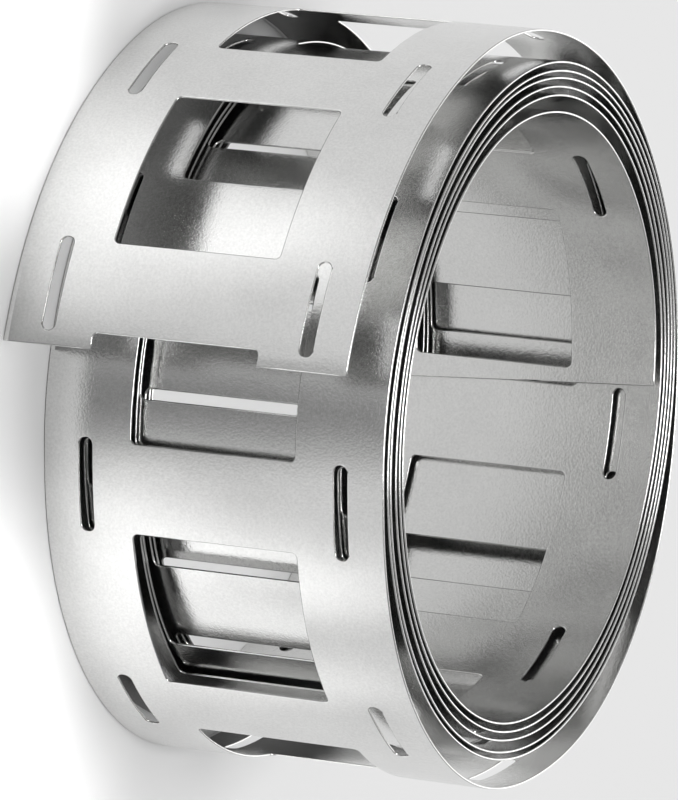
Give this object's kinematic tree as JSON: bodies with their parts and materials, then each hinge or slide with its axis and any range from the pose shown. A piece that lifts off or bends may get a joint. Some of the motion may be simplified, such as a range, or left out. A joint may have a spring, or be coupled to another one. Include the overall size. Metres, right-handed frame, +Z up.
{
  "type": "coil of punched nickel strip",
  "caption": "Loose coil of thin ladder-shaped nickel strip, two rails joined by cross bars with weld slots, for joining battery cells.",
  "frame": {"origin": "on the floor, under the middle of the coil's box", "axes": "+Z up along the coil's axis, the free outer end of the strip on the -Y side"},
  "size_m": [0.057, 0.0588, 0.027],
  "materials": {
    "nickel": "satin"
  },
  "bodies": {
    "root": {"nickel_strip": "nickel"}
  },
  "joints": []
}
